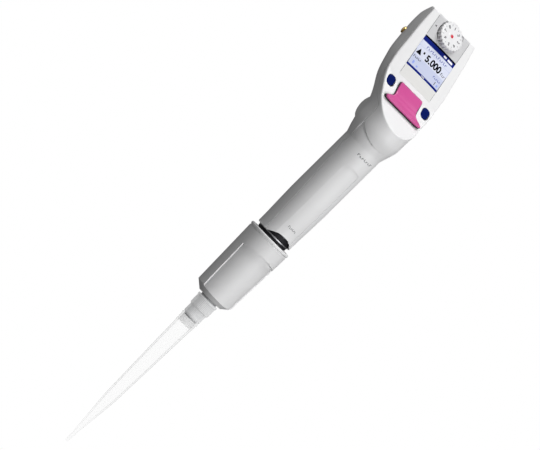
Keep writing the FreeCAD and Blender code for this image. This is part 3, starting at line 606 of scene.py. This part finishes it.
def make_dial():
    turn = JOINTS["dial_turn"]
    plane = Plane(turn["pos_m"], turn["axis"])
    body = BODY_OF["selection_dial"]
    mesh = mesh_from("dial_knob", lambda work: loft(work, dial_rings(plane)))
    knob = finish_piece("dial_knob", mesh, PAINT["dial_white"], body, 40)
    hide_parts("selection_dial")

    dome = [(1.15, -0.55), (1.15, -0.02), (1.08, 0.08), (0.85, 0.17), (0.45, 0.22), (0.12, 0.235)]
    rings = [[plane.point(r * math.cos(a), r * math.sin(a), w) for a in arc(48)] for r, w in dome]
    mesh = mesh_from("dial_dot", lambda work: loft(work, rings))
    dot = finish_piece("dial_dot", mesh, PAINT["marker_red"], body, 50)
    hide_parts("dial_marker")

    face = DialFace()
    for index in range(DIAL_PLACES):
        bearing = math.radians(90 - 360 / DIAL_PLACES * index)
        x = NUMERAL_RADIUS * math.cos(bearing)
        v = NUMERAL_RADIUS * math.sin(bearing)
        lay_numerals(f"dial_numeral_{index + 1}", str(index + 1), NUMERAL_SIZE, face, plane, x, v,
                     PAINT["print_grey"], body, bold=NUMERAL_BOLD, turn=bearing - math.pi / 2)
        half = bearing - math.radians(180 / DIAL_PLACES)
        across = plane.across * math.sin(half) - plane.up * math.cos(half)
        tick_plane = Plane(plane.point(0, 0), plane.out, across)
        build = patch(face, tick_plane, -TICK_HALF_WIDTH, TICK_HALF_WIDTH, *TICK_SPAN, 0.08, columns=4)
        finish_piece(f"dial_tick_{index + 1}", mesh_from("dial_tick", build), PAINT["print_grey"], body)


def arc(steps):
    return [2 * math.pi * index / steps for index in range(steps)]


# ---- rocker and soft keys -----------------------------------------------------------------------

ROCKER_TILT = 33.6
ROCKER_PIN_DEPTH = 1.5
ROCKER_HALF_WIDTHS = [(-8.35, 12.6), (-8.2, 14.6), (-7.7, 15.6), (-7.0, 15.95), (-6.3, 15.7), (-5.4, 14.9),
                      (-4.4, 13.2), (-3.4, 11.5), (-2.4, 10.4), (-1.2, 9.95), (0.5, 9.85), (6.6, 9.95),
                      (7.5, 9.85), (8.0, 9.4), (8.2, 8.9)]
ROCKER_HEIGHTS = [(-8.35, 2.75), (-7.5, 2.85), (-6.4, 2.2), (-5.0, 1.45), (-3.2, 0.9), (-1.6, 0.78),
                  (-0.9, 0.86), (-0.3, 0.72), (1.5, 0.62), (4.5, 0.82), (8.2, 1.25)]
ROCKER_SKIRT = -2.9
ROCKER_EDGE = 0.75
ROCKER_CROWN = 0.25
ROCKER_DRAFT = 0.02


def edge_steps(inner_count):
    """Positions 0 to 1 across a pad, crowded towards both edges."""
    edge = [0.0, 0.004, 0.012, 0.024, 0.04, 0.06]
    inner = [0.06 + 0.88 * (index + 1) / (inner_count + 1) for index in range(inner_count)]
    return edge + inner + [1 - value for value in reversed(edge)]


def make_rocker():
    """Pink pad with a waist, a lip at its foot and rounded edges, on the plane of the rocker's pin."""
    tilt = math.radians(ROCKER_TILT)
    out = Vector((0, -math.cos(tilt), math.sin(tilt)))
    plane = Plane(Vector(JOINTS["rocker_tilt"]["pos_m"]) + out * (ROCKER_PIN_DEPTH * MM), out)
    low, high = ROCKER_HALF_WIDTHS[0][0], ROCKER_HALF_WIDTHS[-1][0]
    rows = [low + (high - low) * t for t in edge_steps(46)]
    columns = edge_steps(38)

    def build(work):
        grid = []
        for v in rows:
            half = sampled(ROCKER_HALF_WIDTHS, v)
            line = []
            for t in columns:
                x = half * (2 * t - 1)
                side = sampled(ROCKER_HEIGHTS, v) - ROCKER_CROWN * (1 - (x / half) ** 2)
                drop = max(rounded_edge(half - abs(x), ROCKER_EDGE), rounded_edge(high - v, ROCKER_EDGE),
                           rounded_edge(v - low, ROCKER_EDGE * 0.8))
                line.append(work.verts.new(plane.point(x, v, side - drop)))
            grid.append(line)
        for near, far in zip(grid, grid[1:]):
            for a, b, c, d in zip(near, near[1:], far[1:], far):
                work.faces.new((a, b, c, d))
        border = (grid[0] + [line[-1] for line in grid[1:]] + grid[-1][-2::-1]
                  + [line[0] for line in grid[-2:0:-1]])
        skirt = []
        for vert in border:
            offset = vert.co - plane.origin
            depth = offset.dot(plane.out)
            flat = vert.co - plane.out * depth
            inward = (plane.origin - flat) * ROCKER_DRAFT
            skirt.append(work.verts.new(flat + inward + plane.out * (ROCKER_SKIRT * MM)))
        for index in range(len(border)):
            after = (index + 1) % len(border)
            work.faces.new((border[index], skirt[index], skirt[after], border[after]))
        work.faces.new(skirt)

    mesh = mesh_from("rocker_pad", build)
    piece = finish_piece("rocker_pad", mesh, PAINT["rocker_pink"], BODY_OF["rocker"], 60)
    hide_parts("rocker")
    make_rocker_shadow_band(plane)


# Sizes of the black band that stands in for the shadow under the rocker's lip and round it.
SHADOW_BAND_OUTER = 0.42
SHADOW_BAND_INNER = 0.16
SHADOW_BAND_TOP = 0.12
SHADOW_BAND_FOOT = -1.3
SHADOW_BAND_LIP_TOP = 1.5
SHADOW_BAND_LIP_FOOT = -0.25
SHADOW_BAND_LIP_END = -6.0


def shadow_band_outline(grow):
    """Rocker outline in its own plane, grown outward by the given amount."""
    side = [(v, half + grow) for v, half in ROCKER_HALF_WIDTHS]
    side = [(side[0][0] - grow, side[0][1])] + side[1:-1] + [(side[-1][0] + grow, side[-1][1])]
    return [(half, v) for v, half in side] + [(-half, v) for v, half in reversed(side)]


def make_rocker_shadow_band(plane):
    """Black surround that stands still round the rocker and shows below its lip: a dark band put in as
    painted shadow, for the shade beneath the lip and in the gap round the rocker.
    """
    outer = shadow_band_outline(SHADOW_BAND_OUTER)

    def ring(grow, level, lip_level):
        return [plane.point(x, v, lip_level if outer[index][1] < SHADOW_BAND_LIP_END else level)
                for index, (x, v) in enumerate(shadow_band_outline(grow))]

    def build(work):
        ring_of(work, [ring(SHADOW_BAND_OUTER, SHADOW_BAND_FOOT, SHADOW_BAND_LIP_FOOT),
                       ring(SHADOW_BAND_OUTER, SHADOW_BAND_TOP, SHADOW_BAND_LIP_TOP),
                       ring(SHADOW_BAND_INNER, SHADOW_BAND_TOP, SHADOW_BAND_LIP_TOP),
                       ring(SHADOW_BAND_INNER, SHADOW_BAND_FOOT, SHADOW_BAND_LIP_FOOT)])

    mesh = mesh_from("rocker_shadow_band", build)
    # The band takes the black rubber paint, as painted shadow under the lip.
    finish_piece("rocker_shadow_band", mesh, PAINT["seal_rubber"], "housing", 30)


KEY_HALF_WIDTH = 3.05
KEY_HALF_HEIGHT = 3.45
KEY_SQUARENESS = 2.9


def make_key(node, joint):
    """Domed cap with a squared-off oval outline over a soft key."""
    plane = top_plane(node, -Vector(JOINTS[joint]["axis"]))
    low, high = extent(node, plane.out)
    skirt = -(high - low) / MM
    dome = [(1.0, skirt), (1.0, -0.72), (0.985, -0.5), (0.95, -0.33), (0.88, -0.2), (0.74, -0.1),
            (0.5, -0.04), (0.25, -0.01), (0.05, 0.0)]
    rings = []
    for scale, w in dome:
        ring = []
        for angle in arc(96):
            c, s = math.cos(angle), math.sin(angle)
            power = 2 / KEY_SQUARENESS
            ring.append(plane.point(KEY_HALF_WIDTH * scale * math.copysign(abs(c) ** power, c),
                                    KEY_HALF_HEIGHT * scale * math.copysign(abs(s) ** power, s), w))
        rings.append(ring)
    mesh = mesh_from(f"{node}_cap", lambda work: loft(work, rings))
    piece = finish_piece(f"{node}_cap", mesh, PAINT["key_blue"], BODY_OF[node], 60)
    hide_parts(node)


# ---- display and printed marks ------------------------------------------------------------------


SIDE_LINE = 0.24
VALUE_SIZE = 6.2
VALUE_BOLD = 0.22


def make_display():
    """Generic display picture laid on the window: a header, a value, symbols and strokes for words."""
    out = -Vector(JOINTS["left_key_press"]["axis"])
    low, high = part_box("display_window")
    plane = Plane((low + high) / 2, out)
    skin = Skin("display_window")
    reach = extent("display_window", plane.up)
    half_height = (reach[1] - reach[0]) / 2 / MM
    half_width = (high.x - low.x) / 2 / MM
    top, side = half_height - 0.05, half_width - 0.12

    def add(name, ink, x0, x1, v0, v1, radius=0.0, lift=PRINT_LIFT):
        mesh = mesh_from(name, patch(skin, plane, x0, x1, v0, v1, radius, lift))
        finish_piece(name, mesh, PAINT[ink], "housing")

    add("display_top_band", "ink_black", -side, side, top - 1.05, top)
    add("display_header", "ink_navy", -side, side, top - 3.6, top - 1.05)
    add("display_pill_small", "ink_white", 3.9, 6.6, top - 2.75, top - 1.5, 0.6, 0.06)
    add("display_pill_large", "ink_white", 7.7, 12.4, top - 2.9, top - 1.5, 0.68, 0.06)
    add("display_title_strip", "ink_pale", -side + 0.3, side - 0.3, top - 7.2, top - 3.9, 0.2, 0.015)
    add("display_value_strip", "ink_pale", -side + 0.3, side - 0.3, -2.7, top - 7.5, 0.2, 0.015)
    add("display_footer", "ink_navy", -side, side, -top, -top + 1.35)
    add("display_footer_mark", "ink_white", -1.4, 1.6, -top + 0.45, -top + 0.9, 0.2, 0.06)
    greeked("display_title", add, "ink_blue", -8.8, 10.2, top - 6.6, 1.75, 11)
    greeked("display_unit", add, "ink_black", 9.4, 13.4, -1.5, 1.8, 3)
    greeked("display_label_left", add, "ink_black", -13.2, -6.6, -4.7, 1.25, 5)
    greeked("display_label_right", add, "ink_blue", 6.0, 13.2, -5.9, 1.35, 5)
    add("display_bar_left", "ink_sky", -11.6, -10.2, -8.6, -6.4, 0.6)
    add("display_bar_centre", "ink_sky", -8.0, -6.6, -8.9, -7.7, 0.5)
    lay_numerals("display_step", "1", 3.0, skin, plane, 9.6, -8.0, PAINT["ink_black"], "housing", bold=0.07)
    add("display_step_mark", "ink_sky", 11.3, 12.6, -8.9, -7.4, 0.3)
    lay_numerals("display_value", "5.000", VALUE_SIZE, skin, plane, 1.3, 0.0, PAINT["ink_black"], "housing",
                 bold=VALUE_BOLD)
    add("display_index", "ink_black", -8.6, -7.4, 0.6, 2.1, 0.3)
    triangle = [(-13.4, -1.6), (-9.4, -1.6), (-11.4, 2.3)]
    mesh = mesh_from("display_arrow", prism(skin, plane, triangle))
    finish_piece("display_arrow", mesh, PAINT["ink_black"], "housing")
    for name, x in (("left", -half_width), ("right", half_width - SIDE_LINE)):
        add(f"display_side_{name}", "ink_black", x, x + SIDE_LINE, -half_height, half_height)


def prism(skin, plane, outline):
    """Thin closed shape with straight sides laid on a skin."""
    def build(work):
        upper = [work.verts.new(skin.lay(plane, x, v, PRINT_LIFT)) for x, v in outline]
        lower = [work.verts.new(skin.lay(plane, x, v, PRINT_LIFT - PRINT_DEPTH)) for x, v in outline]
        work.faces.new(upper)
        work.faces.new(list(reversed(lower)))
        for index in range(len(outline)):
            after = (index + 1) % len(outline)
            work.faces.new((upper[index], lower[index], lower[after], upper[after]))
    return build


def greeked(name, add, ink, x0, x1, v0, height, letters):
    """A row of small strokes that stands for a word without being one."""
    pitch = (x1 - x0) / letters
    for index in range(letters):
        left = x0 + pitch * index
        tall = height * (1.0 if index % 3 == 0 else 0.72)
        add(f"{name}_{index}a", ink, left, left + pitch * 0.24, v0, v0 + tall, 0.08)
        level = v0 + (0.0 if index % 2 else tall - 0.35)
        add(f"{name}_{index}b", ink, left + pitch * 0.3, left + pitch * 0.74, level, level + 0.35, 0.08)


RANGE_MARK_RISE = 66.6
NUMBER_MARK_RISE = 6.2
MARK_HEIGHT = 1.5


def make_handle_marks():
    """Two short rows of grey strokes, at heights above the coupling collar."""
    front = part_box("handle_front_shell")[0].y
    skin = Skin("handle_front_shell")
    collar_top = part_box("coupling_collar")[1].z
    for name, rise, x0, x1, letters in (("range_mark", RANGE_MARK_RISE, -5.5, 7.4, 7),
                                        ("number_mark", NUMBER_MARK_RISE, -3.5, 3.4, 6)):
        plane = Plane((0, front, collar_top + rise * MM), (0, -1, 0))

        def add(piece, ink, xa, xb, v0, v1, radius, lift=PRINT_LIFT):
            mesh = mesh_from(piece, patch(skin, plane, xa, xb, v0, v1, radius, lift, 4))
            finish_piece(piece, mesh, PAINT[ink], "housing")

        greeked(name, add, "print_grey", x0, x1, 0.0, MARK_HEIGHT, letters)


JOINT_LINE = 0.2
JOINT_LINE_MARGIN = 1.2
INDEX_DROP = 1.6
INDEX_SPAN = (-13.1, -11.6)
INDEX_HALF_HEIGHT = 0.7


def make_dial_index(skin, plane):
    """Small dark arrow on the silver panel, left of the dial."""
    dial = Vector(JOINTS["dial_turn"]["pos_m"])
    level = (dial - plane.origin).dot(plane.up) / MM - INDEX_DROP
    tip, base = INDEX_SPAN
    outline = [(tip, level), (base, level - INDEX_HALF_HEIGHT), (base, level + INDEX_HALF_HEIGHT)]
    mesh = mesh_from("dial_index", prism(skin, plane, outline))
    finish_piece("dial_index", mesh, PAINT["print_grey"], "housing")


def make_panel_lines():
    """Dark joint lines at the sides of the two panels, and the dial's index mark."""
    out = -Vector(JOINTS["left_key_press"]["axis"])
    for node in ("lower_panel", "dial_panel"):
        low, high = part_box(node)
        plane = Plane((low + high) / 2, out)
        skin = Skin(node)
        half = (high.x - low.x) / 2 / MM
        reach = extent(node, plane.up)
        tall = (reach[1] - reach[0]) / 2 / MM - JOINT_LINE_MARGIN
        for name, x0 in (("left", -half), ("right", half - JOINT_LINE)):
            mesh = mesh_from("line", patch(skin, plane, x0, x0 + JOINT_LINE, -tall, tall, 0.0, columns=2))
            finish_piece(f"{node}_line_{name}", mesh, PAINT["print_grey"], "housing")
        if node == "dial_panel":
            make_dial_index(skin, plane)

# ---- stage, light and camera --------------------------------------------------------------------

FLOOR_HALF_WIDTH = 6.0
FLOOR_DROP = 0.5
FLOOR_FILL = 0.10
ROOM_FILL = 0.19


def build_stage():
    """Plain floor, white to the camera like the background, and a dim even fill to the object."""
    mesh = bpy.data.meshes.new("floor")
    half = FLOOR_HALF_WIDTH
    level = -FLOOR_DROP * MM
    corners = [(-half, -half, level), (half, -half, level), (half, half, level), (-half, half, level)]
    mesh.from_pydata(corners, [], [(0, 1, 2, 3)])
    floor = bpy.data.objects.new("floor", mesh)
    bpy.context.scene.collection.objects.link(floor)
    shader = Shader("floor_paint")
    shader.tree.nodes.remove(shader.surface)
    paths = shader.node("ShaderNodeLightPath")
    glow = shader.node("ShaderNodeEmission")
    seen = shader.math("MAXIMUM", paths.outputs["Is Camera Ray"], paths.outputs["Is Transmission Ray"])
    shade = shader.mix(seen, rgb(FLOOR_FILL, FLOOR_FILL, FLOOR_FILL), rgb(1.0, 1.0, 1.0))
    shader.join(shade, glow.inputs["Color"])
    shader.join(glow.outputs["Emission"], shader.output.inputs["Surface"])
    mesh.materials.append(shader.material)


def build_room():
    """White to the eye, and a dim even fill to the object."""
    world = bpy.data.worlds.new("room")
    bpy.context.scene.world = world
    world.use_nodes = True
    nodes, links = world.node_tree.nodes, world.node_tree.links
    nodes.clear()
    paths = nodes.new("ShaderNodeLightPath")
    seen = nodes.new("ShaderNodeMath")
    seen.operation = "MAXIMUM"
    links.new(paths.outputs["Is Camera Ray"], seen.inputs[0])
    links.new(paths.outputs["Is Transmission Ray"], seen.inputs[1])
    strength = nodes.new("ShaderNodeMapRange")
    strength.inputs["To Min"].default_value = ROOM_FILL
    strength.inputs["To Max"].default_value = 1.0
    links.new(seen.outputs["Value"], strength.inputs["Value"])
    background = nodes.new("ShaderNodeBackground")
    background.inputs["Color"].default_value = rgb(1.0, 1.0, 1.0)
    links.new(strength.outputs["Result"], background.inputs["Strength"])
    output = nodes.new("ShaderNodeOutputWorld")
    links.new(background.outputs["Background"], output.inputs["Surface"])


def area_light(name, azimuth, elevation, distance, width, height, power, target):
    """Soft box that faces target; azimuth 0 is in front of the object and 90 is on its right."""
    light = bpy.data.lights.new(name, "AREA")
    light.shape = "RECTANGLE"
    light.size = width
    light.size_y = height
    light.energy = power
    lamp = bpy.data.objects.new(name, light)
    bpy.context.scene.collection.objects.link(lamp)
    a, e = math.radians(azimuth), math.radians(elevation)
    back = Vector((math.sin(a) * math.cos(e), -math.cos(a) * math.cos(e), math.sin(e)))
    lamp.location = target + back * distance
    lamp.rotation_mode = "QUATERNION"
    lamp.rotation_quaternion = (-back).to_track_quat("-Z", "Y")


def build_lights():
    """Large soft box in front, one above, a small one for the tip's end and a weak strip behind."""
    middle = (CAD_LOW + CAD_HIGH) / 2
    area_light("key_soft_box", 24, -2, 1.5, 0.9, 1.1, 20, middle)
    area_light("top_soft_box", 5, 78, 1.3, 0.7, 0.7, 11, middle)
    area_light("low_soft_box", -4, -14, 0.5, 0.35, 0.35, 0.75, middle * 0.62)
    area_light("rim_strip", -140, 10, 1.2, 0.3, 1.2, 0.8, middle)


CAMERA_AZIMUTH = -27.0
CAMERA_ELEVATION = 1.5
CAMERA_DISTANCE = 6.0
AXIS_ANGLE = 44.7157
LENS = 661.7
AIM_HEIGHT = 179.1 * MM
AIM_SHIFT = -6.0 * MM


def build_camera():
    """Looks from the front left at the pipette's middle, rolled so that its axis runs diagonally."""
    a, e = math.radians(CAMERA_AZIMUTH), math.radians(CAMERA_ELEVATION)
    back = Vector((math.sin(a) * math.cos(e), -math.cos(a) * math.cos(e), math.sin(e)))
    level_right = Vector((math.cos(a), math.sin(a), 0))
    level_up = back.cross(level_right)
    roll = math.radians(90 - AXIS_ANGLE)
    right = level_right * math.cos(roll) + level_up * math.sin(roll)
    up = back.cross(right)
    data = bpy.data.cameras.new("camera")
    data.lens = LENS
    data.sensor_width = 36.0
    data.clip_start = 0.05
    camera = bpy.data.objects.new("camera", data)
    bpy.context.scene.collection.objects.link(camera)
    aim = Vector((0, 0, AIM_HEIGHT)) + level_right * AIM_SHIFT
    axes = Matrix((right, up, back)).transposed().to_4x4()
    camera.matrix_world = Matrix.Translation(aim + back * CAMERA_DISTANCE) @ axes
    bpy.context.scene.camera = camera


def look():
    """Plain view transform, so that colours come out as painted."""
    view = bpy.context.scene.view_settings
    view.view_transform = "Standard"
    view.look = "None"
    view.exposure = 0.0
    view.gamma = 1.0

# ---- the scene ----------------------------------------------------------------------------------

paint_frame()
make_tip()
make_dial()
make_rocker()
make_key("left_softkey", "left_key_press")
make_key("right_softkey", "right_key_press")
make_display()
make_handle_marks()
make_panel_lines()
build_stage()
build_room()
build_lights()
build_camera()
look()
